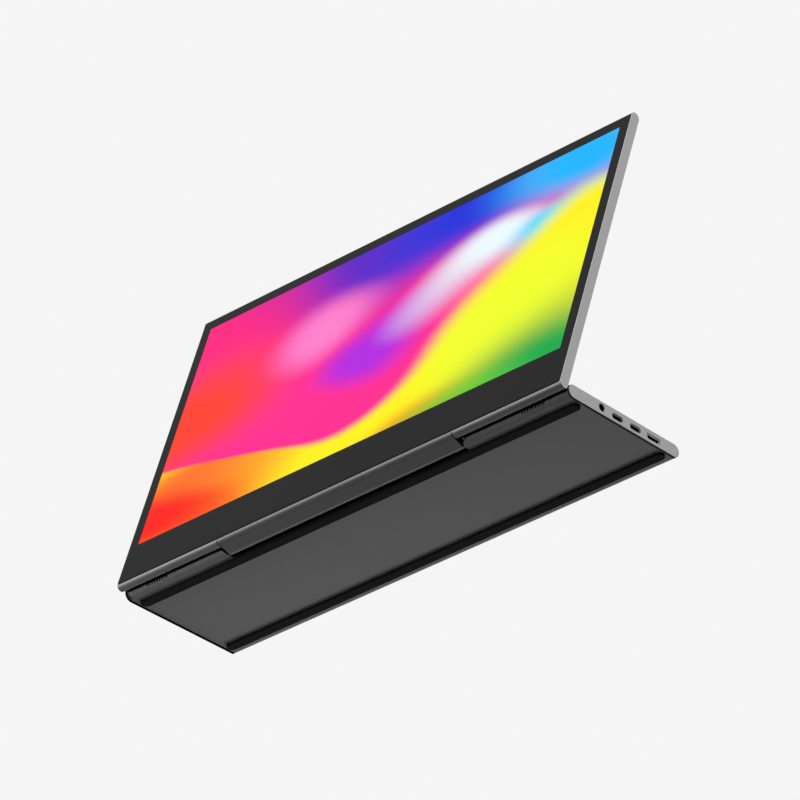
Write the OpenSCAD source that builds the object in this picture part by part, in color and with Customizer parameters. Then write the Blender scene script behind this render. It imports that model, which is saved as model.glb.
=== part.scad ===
// Portable monitor that stands on a slim hinged base and folds flat against it.
// Base pieces are drawn on the base: X right, Y back from the nose of the end trims, Z up from their foot.
// Display pieces are drawn upright: Y back from the glass, Z up from the centre of the bottom round.

/* [Display] */
// Width of the display
body_w = 359.9; // [310:0.1:420]
// Height of the display
display_h = 238.3; // [190:0.1:300]
// Thickness of the display
display_t = 6.8; // [6.6:0.1:8]
// From each side of the display to the lit area
side_border = 7.85; // [5.4:0.05:14]
// From the top edge of the display down to the lit area
top_border = 11.4; // [8.4:0.1:14]
// From the bottom edge of the display up to the lit area
chin = 33.3; // [32.4:0.1:45]
// Thickness of the front glass
glass_t = 0.9; // [0.6:0.1:1.1]
// Bottom lip that the glass leaves bare
lip_h = 1.9; // [1.6:0.1:3]
// Rim of the housing beside the glass
glass_rim = 0.3; // [0.3:0.05:1]
// Radius of the lower corners of the front glass
glass_corner = 1.5; // [0.8:0.1:1.8]
// Chamfer on the front side edges of the housing
side_chamfer = 0.2; // [0.1:0.05:0.25]
// Back wall of the display housing
display_wall = 1.2; // [1:0.1:1.3]
// Side wall of the display housing
display_side_wall = 1.8; // [1.4:0.1:2.2]

/* [Screen stack] */
// Thickness of the LCD cell
cell_t = 1.2; // [1:0.1:1.3]
// Thickness of the diffuser sheets together
diffuser_t = 0.5; // [0.3:0.1:0.6]
// Thickness of the light guide
guide_t = 1.2; // [0.8:0.1:1.3]
// Thickness of the reflector sheet
reflector_t = 0.2; // [0.1:0.05:0.3]
// Thickness of the steel back plate
plate_t = 0.3; // [0.2:0.05:0.4]
// Thickness of a circuit board in the display
driver_board_t = 0.8; // [0.6:0.1:1]
// Height of the driver board
driver_board_h = 9; // [7:0.5:10]
// Length of the driver board
driver_board_w = 250; // [200:1:300]
// Pitch of the light-emitting diodes
led_pitch = 9; // [6:0.5:14]

/* [Base] */
// How far each end of the display stands out past the base
base_in = 0.3; // [0.1:0.05:1]
// Depth of the base
base_depth = 100.3; // [99.5:0.1:130]
// Thickness of the base
base_t = 9.9; // [9.7:0.1:11]
// Wall of the base housing and cover
base_wall = 1.3; // [1.2:0.05:1.4]
// Floor of the base cover
floor_wall = 1; // [0.9:0.05:1]
// Gap between the display and the base when folded flat
closed_gap = 0.4; // [0.35:0.05:0.8]
// Height of the joint between the housing and the cover
split_h = 4.95; // [4.6:0.05:5.2]
// Depth of the hinge-side nose that belongs to the cover
nose_depth = 3.9; // [3.4:0.1:4]
// Thickness of the black trim at each end
trim_w = 0.4; // [0.3:0.05:0.8]
// How far the black trim stands below the underside
trim_h = 1.35; // [1.2:0.05:1.4]
// How far the black trim stands before the nose
trim_nose = 0.95; // [0.8:0.05:1]
// Thickness of the end caps of the housing
cap_t = 1.1; // [0.9:0.1:1.5]
// End wall inside the end caps
end_wall = 1.2; // [1:0.1:1.6]

/* [Feet] */
// Width of each rubber foot
foot_w = 7.1; // [6.6:0.1:8]
// How far the feet stand below the trim
foot_proud = 0.3; // [0.2:0.05:0.8]
// Depth of the recess that holds each foot
foot_recess = 0.3; // [0.2:0.05:0.35]
// Rounding of the edges of a foot
foot_round = 0.5; // [0.3:0.05:0.6]
// From each end of the base to the end of a foot
foot_end = 2.4; // [2:0.1:8]
// From the notch to the front foot
foot_from_notch = 0.1; // [0.1:0.05:0.4]
// From the rear edge of the base to the rear foot
rear_foot_back = 7.9; // [7.5:0.05:11]

/* [Hinge] */
// Opening angle between the display and the base at rest
rest_angle = 72; // [60:1:90]
// Width of each shoulder beside the hinge spine
shoulder_w = 84.7; // [80:0.1:120]
// Gap at each end of the spine
spine_gap = 0.7; // [0.5:0.05:1.2]
// Clearance behind the spine in the notch of the base
notch_clear = 2.2; // [1:0.05:2.3]
// Radius of the spine around the hinge axis
barrel_r = 1.9; // [1.8:0.05:1.95]
// Radius of the spine's lower rear edge
spine_edge_r = 0.7; // [0.4:0.05:0.8]
// Radius of the hinge pins
pin_r = 1.4; // [1.3:0.05:1.4]
// Length of each hinge pin
pin_len = 31; // [26:1:36]
// Length of pin inside the spine
pin_seat = 11; // [8:0.5:14]
// Radius of the cable bore through the pins
pin_bore_r = 0.9; // [0.85:0.01:1]
// Outer radius of the friction barrel
bracket_r = 2.15; // [2:0.05:2.2]
// Length of the friction barrel
bracket_len = 14; // [10:0.5:16]
// Thickness of the bracket plate
bracket_t = 1.2; // [1:0.1:1.4]
// Depth of the bracket plate behind the axis
bracket_depth = 19; // [18:0.5:19]
// Radius of the cable
cable_r = 0.75; // [0.6:0.05:0.8]
// Rounding of the shoulders beside the notch
shoulder_r = 4.5; // [3:0.1:4.6]

/* [Sockets] */
// Audio socket, from the nose
jack_at = 30.3; // [29:0.1:33]
// Radius of the audio socket's bore
jack_r = 1.8; // [1.75:0.01:1.85]
// First USB-C socket, from the nose
usb_a_at = 44.3; // [43:0.1:46]
// Second USB-C socket, from the nose
usb_b_at = 60.4; // [59:0.1:62]
// Mini-HDMI socket, from the nose
hdmi_at = 77.1; // [75:0.1:77.3]
// Width of a USB-C shell
usb_w = 8.94; // [8.8:0.01:9.1]
// Height of a USB-C shell
usb_h = 3.16; // [3:0.01:3.3]
// Width of the mini-HDMI shell
hdmi_w = 11.2; // [10.8:0.1:11.4]
// Height of the mini-HDMI shell
hdmi_h = 3.2; // [3:0.05:3.3]
// How far the sockets sit behind the end face
socket_inset = 0.7; // [0.4:0.05:1]
// How far the audio socket sits behind the end face
jack_inset = 0.1; // [0.1:0.05:0.4]
// Clearance around each socket in the end face
socket_gap = 0.25; // [0.15:0.05:0.35]
// Chamfer around each opening
opening_chamfer = 0.25; // [0.1:0.05:0.35]

/* [Electronics] */
// Thickness of the main board
board_t = 0.8; // [0.7:0.05:0.9]
// Height of the boards' top face
board_top = 3.5; // [3.5:0.05:3.6]
// Width of the main board
board_w = 88; // [80:1:100]
// From the nose to the boards' front edge
board_front = 25; // [24.5:0.1:26]
// Clearance between a board and the end wall
board_gap = 0.5; // [0.3:0.1:1]
// Width of each speaker
speaker_w = 36; // [30:1:40]
// Depth of each speaker
speaker_depth = 15; // [12:0.5:16]
// Height of each speaker
speaker_h = 5.4; // [4:0.1:5.5]
// From the right end of the base to the centre of its row of slots
right_slots_in = 28; // [25:0.1:30]
// From the left end of the base to the centre of its row of slots
left_slots_in = 26.1; // [24:0.1:29]
// Number of slots in a row
slot_count = 9; // [5:1:12]
// Pitch of the slots
slot_pitch = 2.05; // [1.8:0.05:2.6]
// Width of a slot
slot_w = 1; // [0.8:0.05:1.2]
// Height of the lower end of the slots
slot_low = 3.2; // [3:0.1:3.6]
// Height of the upper end of the slots
slot_high = 7.5; // [6.5:0.1:7.6]

/* [Keys] */
// Length of a key
key_len = 8; // [6:0.1:9]
// Height of a key
key_h = 2.4; // [2:0.1:2.6]
// Power key, from the nose
power_at = 41; // [39:0.1:43]
// Distance between keys
key_pitch = 13; // [12:0.1:15]
// Clearance around a key
key_gap = 0.15; // [0.1:0.05:0.25]
// Travel of a key
key_travel = 0.4; // [0.3:0.05:0.5]

/* [Fasteners] */
// Radius of a screw shank
screw_r = 1; // [0.8:0.05:1.1]
// Radius of a screw head
head_r = 1.9; // [1.6:0.05:2]
// Height of a screw head
head_h = 0.8; // [0.6:0.05:0.8]
// Height of the low heads under the boards
low_head_h = 0.5; // [0.4:0.05:0.5]
// Clearance around a screw
screw_gap = 0.05; // [0.03:0.01:0.1]
// Wall of a screw boss
boss_wall = 1.5; // [1.2:0.1:1.5]
// Radius of a closing bumper
bumper_r = 3; // [2:0.1:4]
// Height of a closing bumper
bumper_h = 0.3; // [0.2:0.05:0.3]

/* [Hidden] */
$fn = 48;
eps = 0.01;

half_w = body_w / 2;
base_half = half_w - base_in;
// Display: rounds, lit area and the stack behind the glass
round_d = display_t / 2;
display_low = -round_d;
display_top = display_h - round_d;
lit_top = display_top - top_border;
lit_low = display_low + chin;
active_w = body_w - 2 * side_border;
active_h = lit_top - lit_low;
glass_low = display_low + lip_h;
cell_back = glass_t + cell_t;
diffuser_back = cell_back + diffuser_t;
guide_back = diffuser_back + guide_t;
reflector_back = guide_back + reflector_t;
plate_back = reflector_back + plate_t;
inner_back = display_t - display_wall;
cavity_half = half_w - display_side_wall;
cavity_low = 0.4;
cavity_top = display_top - round_d - 1.5;
cell_side = 1.2;
cell_ledge = 4.2;
cell_ledge_t = 0.6;
guide_side = 0.8;
guide_lower = 2;
led_z0 = lit_low - 5;
led_z1 = lit_low - guide_lower - 0.2;
frame_bar = 1.7;
frame_in = guide_side + 0.1;
frame_out = frame_in + frame_bar;
frame_low = 8;
plate_lip = 0.4;
flex_t = 0.15;
strip_t = 0.2;
led_w = 3.2;
led_h = 1.2;
led_d = 0.8;
strip_in = 2;
tape_h = 10;
tape_inset = 6;
tape_levels = [0.06, 0.5, 0.94];
panel_flex_w = 30;
outer_flex_x = driver_board_w / 2 - 35;
inner_flex_x = 40;
panel_flex_xs = [-outer_flex_x, -inner_flex_x, inner_flex_x, outer_flex_x];
driver_chip_xs = [-outer_flex_x, -inner_flex_x, inner_flex_x, outer_flex_x];
driver_chip = [12, 0.9, 2.5];
connector_w = 12;
connector_d = 3.5;
post_skin = 0.2;
screw_tip = 0.4;
driver_board_z1 = lit_low - frame_low - plate_lip - 1;
driver_board_back = inner_back - 1.7;
driver_board_face = driver_board_back - driver_board_t;
driver_screw_x = driver_board_w / 2 - 10;
driver_screw_xs = [-driver_screw_x, 0, driver_screw_x];
driver_screw_z = driver_board_z1 - 3;
display_cable_x = 20;
display_cable_y = driver_board_back + cable_r;
display_cable_bend = 1.6;
display_cable_turn = 2.2;
cable_socket_z = driver_board_z1 - driver_board_h + 0.5;

// Base: rounds, cavity and notch
floor_z = trim_h + floor_wall;
room_top = base_t - base_wall;
cavity_r = (room_top - floor_z) / 2;
cavity_y = trim_nose + base_wall + cavity_r;
cavity_z = floor_z + cavity_r;
cover_half = base_half - cap_t;
room_half = cover_half - end_wall;
spine_half = base_half - shoulder_w;
notch_half = spine_half + spine_gap;
trim_top = base_t - 1.6;
trim_back = base_depth - 4.5;
trim_ramp = 1.9;
trim_ramp_top = trim_h + 0.25;
notch_depth = base_t / 2 + barrel_r + notch_clear;
notch_wall = 1.1;
front_foot_at = notch_depth + foot_from_notch;
rear_foot_at = base_depth - rear_foot_back - foot_w;

// Hinge: the axis is the centre of the end trims' nose
axis_y = base_t / 2;
axis_z = base_t / 2;
hinge_back = display_t + closed_gap + axis_z;
spine_rear = hinge_back + barrel_r;
spine_wall = 1;
spine_top_wall = 0.8;
spine_front = 2;
spine_end = 37;
spine_room_half = spine_half - spine_end;
running_gap = 0.03;
bore_gap = 0.3;
pin_x0 = spine_half - pin_seat;
pin_x1 = pin_x0 + pin_len;
bracket_x0 = notch_half + shoulder_r + bore_gap;
bracket_x1 = bracket_x0 + bracket_len;
bracket_mid = bracket_x0 + bracket_len / 2;
bracket_screw_ys = [axis_y + 7.5, axis_y + 15.5];
flange_x0 = spine_room_half + 3;
flange_x1 = spine_half - 3;
flange_z1 = 10.2;
flange_y0 = inner_back - 2.2;
flange_y1 = inner_back - 1.2;
spine_screw_xs = [flange_x0 + 6, flange_x1 - 6];
spine_screw_z = 6.4;

// Place of the whole in its own frame: the middle of its box, on the feet
lean = 90 - rest_angle;
y_low = axis_y - (hinge_back - round_d) * cos(lean) - round_d;
y_display = y_low + round_d + (display_h - display_t) * sin(lean) + round_d;
y_high = max(base_depth, y_display);
y_shift = -(y_low + y_high) / 2;

// Electronics
board_x1 = room_half - board_gap;
board_x0 = board_x1 - board_w;
board_low = board_top - board_t;
socket_x1 = base_half - socket_inset;
jack_x1 = base_half - jack_inset;
socket_len = 9;
jack_len = 13;
jack_sleeve = 0.4;
jack_hole_r = jack_r + jack_sleeve + socket_gap;
tongue_back = 1;
shell_t = 0.3;
jack_z = 5.9;
usb_z = board_top + usb_h / 2;
hdmi_z = board_top + hdmi_h / 2;
jack_body = 2 * (jack_z - board_top);
boss_r = screw_r + boss_wall;
cover_boss_r = boss_r + 0.6;
boss_skin = 1;
screw_skin = 1.5;
screw_end = room_top - screw_skin;
boss_clear = 0.1;
cover_front_y = notch_depth + notch_wall + boss_clear + boss_r;
cover_rear_y = rear_foot_at + foot_w / 2;
cover_front_in = 59.7;
cover_rear_in = 29.7;
cover_mid_x = 48;
cover_front_x = base_half - cover_front_in;
cover_rear_x = base_half - cover_rear_in;
cover_front_xs = [-cover_front_x, -cover_mid_x, cover_mid_x, cover_front_x];
cover_rear_xs = [-cover_rear_x, -cover_mid_x, cover_mid_x, cover_rear_x];
cover_boss_top = floor_z + 1.2;
board_depth = cover_rear_y - cover_boss_r - board_gap - board_front;
board_screw_xs = [board_x0 + 5, board_x1 - 19];
board_screw_ys = [board_front + 4, board_front + board_depth - 4];
seat_under_head = trim_h + foot_recess + head_h + 0.1;
pocket_z = board_low - low_head_h - 0.1;
right_slots_at = base_half - right_slots_in;
left_slots_at = base_half - left_slots_in;
speaker_y0 = cavity_y + 0.05;
outlet_in = 2;
outlet_d = 1.5;
magnet_in = 5;
magnet_t = 0.5;
mesh_t = 0.3;
chip_in = 40;
chip_x = board_x0 + chip_in;
chip_y = board_front + board_depth / 2;
connector_h = 2.8;
key_connector_h = 1.6;
key_flex_reach = 2;
key_flex_w = 8;
shield_w = 44;
shield_d = 30;
shield_h = 2.6;
shield_t = 0.3;
big_chip = 14;
big_chip_t = 1.2;
memory_w = 8;
memory_d = 12;
power_chip = 7;
chip_t = 1;
chip_gap = 4;
cable_bend = 5;
cable_run = 14;
cable_x = pin_x1 + cable_run;
cable_socket_y = board_front + 0.2;

bumper_in = 13;
bumper_front = 20;

// Keys
key_board_w = 9;
key_flange = 0.8;
key_flange_t = 0.5;
key_ys = [power_at, power_at + key_pitch, power_at + 2 * key_pitch];
key_z = (base_t + trim_h) / 2;
key_back = room_half - 0.1 - key_flange_t;
switch_x1 = key_back - key_travel - 0.05;
switch_body = 3.6;
key_board_x1 = switch_x1 - 0.2;
key_board_margin = 8;
key_screw_in = 5;
key_screw_ys = [key_ys[0] - 5, key_ys[2] + 5];

// A 2D shape in Y and Z, drawn out along X
module along_x(x0, x1) {
    translate([x0, 0, 0]) rotate([90, 0, 90]) linear_extrude(height = x1 - x0) children();
}

// A block given by its corners
module block(x0, x1, y0, y1, z0, z1) {
    translate([x0, y0, z0]) cube([x1 - x0, y1 - y0, z1 - z0]);
}

// A rod along X
module rod_x(x0, x1, y, z, r) {
    translate([x0, y, z]) rotate([0, 90, 0]) cylinder(h = x1 - x0, r = r);
}

// A rod along Y
module rod_y(x, y0, y1, z, r) {
    translate([x, y0, z]) rotate([-90, 0, 0]) cylinder(h = y1 - y0, r = r);
}

// A rod along Z
module rod_z(x, y, z0, z1, r) {
    translate([x, y, z0]) cylinder(h = z1 - z0, r = r);
}

// Flat bar with full-round ends, lying in 2D
module lying_bar(y0, y1, z0, z1) {
    r = (z1 - z0) / 2;
    translate([y0 + r, z0 + r]) circle(r);
    translate([y1 - r, z0 + r]) circle(r);
    translate([y0 + r, z0]) square([y1 - y0 - 2 * r, 2 * r]);
}

// Flat bar with full-round ends, standing in 2D
module standing_bar(y0, y1, z0, z1) {
    r = (y1 - y0) / 2;
    translate([y0 + r, z0 + r]) circle(r);
    translate([y0 + r, z1 - r]) circle(r);
    translate([y0, z0 + r]) square([2 * r, z1 - z0 - 2 * r]);
}

// The left piece is the mirror image of the right one
module left() {
    mirror([1, 0, 0]) children();
}

// Both sides
module both() {
    children();
    left() children();
}

// Base pieces stand on the feet
module on_base() {
    translate([0, y_shift, foot_proud]) children();
}

// Display pieces lean back about the hinge axis
module on_display() {
    translate([0, axis_y + y_shift, axis_z + foot_proud])
        rotate([-lean, 0, 0]) translate([0, -hinge_back, 0]) children();
}

// ---- Display ----

module display_profile() {
    standing_bar(0, display_t, display_low, display_top);
}

// Room of the glass, open to the front
module glass_room() {
    x = half_w - glass_rim;
    r = glass_corner;
    translate([0, glass_t, 0]) rotate([90, 0, 0]) linear_extrude(height = glass_t + 1) {
        translate([-x, glass_low + r]) square([2 * x, display_h]);
        translate([-x + r, glass_low]) square([2 * x - 2 * r, 2 * r]);
        for (s = [-1, 1]) translate([s * (x - r), glass_low + r]) circle(r);
    }
}

module front_glass() {
    color("#202224") on_display() intersection() {
        along_x(-half_w, half_w) display_profile();
        glass_room();
    }
}

module display_rear_housing() {
    color("#9d9d9d") on_display() {
        difference() {
            along_x(-half_w, half_w) display_profile();
            glass_room();
            both() translate([half_w, 0, display_low - 1]) rotate([0, 0, 45])
                translate([-side_chamfer / sqrt(2), -side_chamfer / sqrt(2), 0])
                cube([side_chamfer * sqrt(2), side_chamfer * sqrt(2), display_h + 2]);
            block(-cavity_half, cavity_half, glass_t - 1, inner_back, cavity_low, cavity_top);
            block(-spine_half - spine_gap / 4, spine_half + spine_gap / 4, -1, display_t + 1,
                display_low - 1, barrel_r + spine_gap / 4);
        }
        both() for (x = spine_screw_xs) screw_post(x, spine_screw_z, flange_y1);
        for (x = driver_screw_xs) screw_post(x, driver_screw_z, driver_board_back);
    }
}

// Post on the inside of the back wall, with a blind hole
module screw_post(x, z, y0) {
    difference() {
        rod_y(x, y0, inner_back + eps, z, boss_r);
        rod_y(x, y0 - 1, inner_back - post_skin, z, screw_r + screw_gap);
    }
}

module lcd_cell() {
    color("#16181c") on_display() {
        block(-active_w / 2 - cell_side, active_w / 2 + cell_side, glass_t, cell_back,
            lit_low - cell_side, lit_top + cell_side);
        block(-active_w / 2 - cell_side, active_w / 2 + cell_side, cell_back - cell_ledge_t, cell_back,
            lit_low - cell_ledge, lit_low);
    }
}

module diffuser_sheets() {
    color("#f4f4f2") on_display() block(-active_w / 2 - guide_side, active_w / 2 + guide_side,
        cell_back, diffuser_back, lit_low - guide_lower / 2, lit_top + guide_side);
}

module light_guide() {
    color("#e6eef2") on_display() block(-active_w / 2 - guide_side, active_w / 2 + guide_side,
        diffuser_back, guide_back, lit_low - guide_lower, lit_top + guide_side);
}

module reflector_sheet() {
    color("#ffffff") on_display() block(-active_w / 2 - guide_side, active_w / 2 + guide_side,
        guide_back, reflector_back, lit_low - guide_lower, lit_top + guide_side);
}

module led_strip() {
    led_n = floor((active_w - 2 * strip_in - led_w) / led_pitch);
    strip_half = active_w / 2 - strip_in;
    color("#e8e2b8") on_display() {
        block(-strip_half, strip_half, guide_back - strip_t, guide_back, led_z0, led_z1);
        for (i = [0 : led_n]) translate([(i - led_n / 2) * led_pitch, 0, 0])
            block(-led_w / 2, led_w / 2, guide_back - strip_t - led_d, guide_back - eps,
                led_z1 - led_h, led_z1);
    }
}

module panel_frame() {
    color("#f0f0ee") on_display() difference() {
        block(-active_w / 2 - frame_out, active_w / 2 + frame_out, cell_back, reflector_back,
            lit_low - frame_low, lit_top + frame_out);
        block(-active_w / 2 - frame_in, active_w / 2 + frame_in, cell_back - 1, reflector_back + 1,
            led_z0 - 0.1, lit_top + frame_in);
    }
}

module panel_back_plate() {
    out = frame_out + plate_lip;
    color("#b4b6b8") on_display() difference() {
        block(-active_w / 2 - out, active_w / 2 + out, cell_back, plate_back,
            lit_low - frame_low - plate_lip, lit_top + out);
        block(-active_w / 2 - frame_out, active_w / 2 + frame_out, cell_back - 1, reflector_back,
            lit_low - frame_low, lit_top + frame_out);
    }
}

module mounting_tapes() {
    color("#303234") on_display() for (f = tape_levels)
        translate([0, 0, lit_low + f * active_h])
        block(-active_w / 2 + tape_inset, active_w / 2 - tape_inset, plate_back, inner_back,
            -tape_h / 2, tape_h / 2);
}

module driver_board() {
    color("#1d5b3a") on_display() {
        difference() {
            block(-driver_board_w / 2, driver_board_w / 2, driver_board_face, driver_board_back,
                driver_board_z1 - driver_board_h, driver_board_z1);
            for (x = driver_screw_xs)
                rod_y(x, driver_board_face - 1, driver_board_back + 1, driver_screw_z, screw_r + screw_gap);
        }
        for (x = driver_chip_xs)
            translate([x - driver_chip[0] / 2, driver_board_face - driver_chip[1], driver_board_z1 - 8])
            cube([driver_chip[0], driver_chip[1] + eps, driver_chip[2]]);
        translate([display_cable_x - connector_w / 2, driver_board_back - eps, cable_socket_z])
            cube([connector_w, 1.3, connector_d]);
    }
}

module driver_board_screws() {
    color("#c8c8c8") on_display() for (x = driver_screw_xs) {
        rod_y(x, driver_board_face - head_h, driver_board_face, driver_screw_z, head_r);
        rod_y(x, driver_board_face - eps, inner_back - screw_tip, driver_screw_z, screw_r);
    }
}

// Thin flexes from the ledge of the cell, over the frame, to the face of the driver board
module panel_flexes() {
    y0 = cell_back - cell_ledge_t - flex_t;
    y1 = driver_board_face - flex_t;
    z0 = lit_low - cell_ledge + 1.5;
    z1 = lit_low - frame_low - 0.5;
    z2 = driver_board_z1 - 1;
    z3 = driver_board_z1 - 4;
    color("#b4703a") on_display() for (x = panel_flex_xs) along_x(x - panel_flex_w / 2, x + panel_flex_w / 2)
        polygon([[y0, z0], [y0, z1], [y1, z2], [y1, z3], [y1 + flex_t, z3], [y1 + flex_t, z2 + 0.1],
            [y0 + flex_t, z1 + 0.1], [y0 + flex_t, z0]]);
}

// From the driver board down into the spine, back to the hinge axis and out through the right pin
module display_cable() {
    turn = display_cable_turn;
    turn_x = display_cable_x + turn;
    color("#1a1a1c") on_display() {
        rod_z(display_cable_x, display_cable_y, display_cable_bend, cable_socket_z, cable_r);
        translate([display_cable_x, display_cable_y + display_cable_bend, display_cable_bend])
            rotate([0, 90, 0]) rotate([0, 0, 270]) elbow(display_cable_bend);
        rod_y(display_cable_x, display_cable_y + display_cable_bend - eps, hinge_back - turn, 0, cable_r);
        translate([turn_x, hinge_back - turn, 0]) rotate([0, 0, 90]) elbow(turn);
        rod_x(turn_x - eps, pin_x1 + 0.2, hinge_back, 0, cable_r);
    }
}

// A quarter bend of the cable around Z, from +X to +Y
module elbow(bend) {
    rotate_extrude(angle = 90) translate([bend, 0]) circle(cable_r);
}

module spine_profile() {
    difference() {
        union() {
            intersection() {
                display_profile();
                translate([0, display_low]) square([display_t, barrel_r - display_low]);
            }
            translate([round_d, display_low]) square([spine_rear - spine_edge_r - round_d, -display_low]);
            translate([round_d, display_low + spine_edge_r])
                square([spine_rear - round_d, -display_low - spine_edge_r]);
            translate([spine_rear - spine_edge_r, display_low + spine_edge_r]) circle(spine_edge_r);
            translate([round_d, -eps]) square([hinge_back - round_d, barrel_r + eps]);
            translate([hinge_back, 0]) circle(barrel_r);
        }
        translate([-1, glass_low]) square([glass_t + 1, display_h]);
    }
}

module hinge_spine() {
    color("#949494") on_display() difference() {
        union() {
            along_x(-spine_half, spine_half) spine_profile();
            both() block(flange_x0, flange_x1, flange_y0, flange_y1, barrel_r - 0.5, flange_z1);
        }
        block(-spine_room_half, spine_room_half, spine_front, spine_rear - spine_wall,
            display_low + spine_wall, barrel_r - spine_top_wall);
        block(-spine_room_half, spine_room_half, spine_front, inner_back,
            display_low + spine_wall, barrel_r + 1);
        both() {
            rod_x(pin_x0, spine_half + 1, hinge_back, 0, pin_r);
            rod_x(spine_room_half - 1, pin_x0 + eps, hinge_back, 0, pin_bore_r);
            for (x = spine_screw_xs)
                rod_y(x, flange_y0 - 1, flange_y1 + 1, spine_screw_z, screw_r + screw_gap);
        }
    }
}

module spine_screws() {
    color("#c8c8c8") on_display() both() for (x = spine_screw_xs) {
        rod_y(x, flange_y0 - head_h, flange_y0, spine_screw_z, head_r);
        rod_y(x, flange_y0 - eps, inner_back - screw_tip, spine_screw_z, screw_r);
    }
}

module hinge_pin() {
    color("#b8babc") on_display() difference() {
        rod_x(pin_x0, pin_x1, hinge_back, 0, pin_r);
        rod_x(pin_x0 - 1, pin_x1 + 1, hinge_back, 0, pin_bore_r);
    }
}

module right_hinge_pin() {
    hinge_pin();
}

module left_hinge_pin() {
    left() hinge_pin();
}

// ---- Base ----

module base_profile() {
    lying_bar(trim_nose, base_depth, trim_h, base_t);
}

// Black trim: a thin edge that stands out under the end face and around its nose
module trim_profile() {
    x1 = trim_back + trim_ramp;
    difference() {
        intersection() {
            lying_bar(0, base_depth, 0, base_t);
            polygon([[-1, -1], [trim_back, -1], [trim_back, 0], [x1, trim_ramp_top], [x1, trim_top],
                [-1, trim_top]]);
        }
        base_profile();
    }
}

module cover_region() {
    translate([-1, -1]) square([base_depth + 2, split_h + 1]);
    translate([-1, -1]) square([nose_depth + 1, base_t + 2]);
}

// Room inside the base, clear of the notch and of the shoulders beside it
module base_room() {
    difference() {
        along_x(-room_half, room_half)
            lying_bar(trim_nose + base_wall, base_depth - base_wall, floor_z, room_top);
        block(-notch_half - base_wall, notch_half + base_wall, 0, notch_depth + notch_wall, -1, base_t + 1);
        block(-notch_half - shoulder_r, notch_half + shoulder_r, 0, trim_nose + shoulder_r, -1, base_t + 1);
    }
}

// Notch for the spine, with the shoulders beside it rounded, and the bores that the pins cross
module notch() {
    block(-notch_half, notch_half, -1, notch_depth, -1, base_t + 1);
    both() {
        difference() {
            block(notch_half - eps, notch_half + shoulder_r, -1, trim_nose + shoulder_r, -1, base_t + 1);
            rod_z(notch_half + shoulder_r, trim_nose + shoulder_r, -2, base_t + 2, shoulder_r);
        }
        rod_x(notch_half - 1, bracket_x0, axis_y, axis_z, pin_r + bore_gap);
    }
}

module usb_outline(gap) {
    lying_bar(-usb_w / 2 - gap, usb_w / 2 + gap, -usb_h / 2 - gap, usb_h / 2 + gap);
}

module hdmi_outline(gap) {
    w = hdmi_w / 2 + gap;
    h = hdmi_h / 2 + gap;
    cut = 1.1;
    polygon([[-w, h], [-w, -h + cut + 0.4], [-w + cut, -h], [w - cut, -h], [w, -h + cut + 0.4], [w, h]]);
}

// Openings in the right end face, each with a chamfered rim
module socket_openings() {
    x0 = room_half - 1;
    rod_x(x0, base_half + 1, jack_at, jack_z, jack_hole_r);
    translate([base_half - opening_chamfer, jack_at, jack_z]) rotate([0, 90, 0])
        cylinder(h = opening_chamfer + eps, r1 = jack_hole_r, r2 = jack_hole_r + opening_chamfer);
    for (y = [usb_a_at, usb_b_at]) translate([0, y, usb_z]) {
        along_x(x0, base_half + 1) usb_outline(socket_gap);
        along_x(base_half - opening_chamfer, base_half + 1) usb_outline(socket_gap + opening_chamfer);
    }
    translate([0, hdmi_at, hdmi_z]) {
        along_x(x0, base_half + 1) hdmi_outline(socket_gap);
        along_x(base_half - opening_chamfer, base_half + 1) hdmi_outline(socket_gap + opening_chamfer);
    }
}

module key_outline(grow) {
    lying_bar(-key_len / 2 - grow, key_len / 2 + grow, -key_h / 2 - grow, key_h / 2 + grow);
}

module key_openings() {
    for (y = key_ys) translate([0, y, key_z])
        along_x(-base_half - 1, -room_half + 1) key_outline(key_gap);
}

module base_top_housing() {
    color("#9a9a9a") on_base() {
        difference() {
            union() {
                along_x(-base_half, base_half) difference() {
                    base_profile();
                    cover_region();
                }
                both() along_x(cover_half, base_half) base_profile();
            }
            base_room();
            notch();
            socket_openings();
            key_openings();
        }
        for (x = cover_front_xs) top_boss(x, cover_front_y, cover_boss_top);
        for (x = cover_rear_xs) top_boss(x, cover_rear_y, cover_boss_top);
        for (x = board_screw_xs, y = board_screw_ys) top_boss(x, y, board_top);
        both() for (y = bracket_screw_ys) top_boss(bracket_mid, y, axis_z + bracket_t / 2);
        for (y = key_screw_ys) top_boss(-key_board_x1 + key_screw_in, y, board_top);
    }
}

// Boss under the top wall, with a blind hole for a screw
module top_boss(x, y, z0) {
    difference() {
        rod_z(x, y, z0, room_top + eps, boss_r);
        rod_z(x, y, z0 - 1, room_top - boss_skin, screw_r + screw_gap);
    }
}

// Room of a foot in the cover
module foot_recess_room(y0) {
    translate([0, 0, -1]) linear_extrude(height = trim_h + foot_recess + 1) foot_plan(y0);
}

module foot_plan(y0) {
    lying_bar(-base_half + foot_end, base_half - foot_end, y0, y0 + foot_w);
}

// A row of slots through the nose, with its centre at x
module slots(x) {
    x0 = x - (slot_count - 1) / 2 * slot_pitch;
    for (i = [0 : slot_count - 1]) translate([x0 + i * slot_pitch, 0, 0]) {
        block(-slot_w / 2, slot_w / 2, -1, cavity_y, slot_low + slot_w / 2, slot_high - slot_w / 2);
        for (z = [slot_low + slot_w / 2, slot_high - slot_w / 2]) rod_y(0, -1, cavity_y, z, slot_w / 2);
    }
}

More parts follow.
